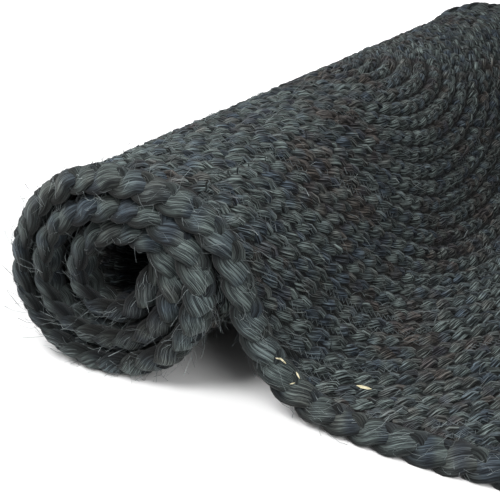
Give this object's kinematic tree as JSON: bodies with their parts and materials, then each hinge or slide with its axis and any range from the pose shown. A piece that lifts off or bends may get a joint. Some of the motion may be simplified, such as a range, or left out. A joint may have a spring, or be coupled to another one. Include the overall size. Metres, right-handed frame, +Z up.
{
  "type": "jute rug",
  "caption": "Rectangular braided jute rug, partly rolled up: the roll rests on the floor and the loose end falls from it and lies flat.",
  "frame": {"origin": "on the floor, under the middle of the rug's outer box", "axes": "+Y along the roll from the near side to the far side, +X the way the rug unrolls towards its loose end, +Z up"},
  "size_m": [0.5452, 0.709, 0.1462],
  "materials": {
    "field_braid": "matt charcoal jute, narrow sewn braid",
    "edge_braid": "matt charcoal jute, thick braid"
  },
  "bodies": {
    "root": {"field_panel": "field_braid", "edge_braid_near": "edge_braid", "edge_braid_flat_end": "edge_braid", "edge_braid_far": "edge_braid", "edge_braid_rolled_end": "edge_braid"}
  },
  "joints": []
}
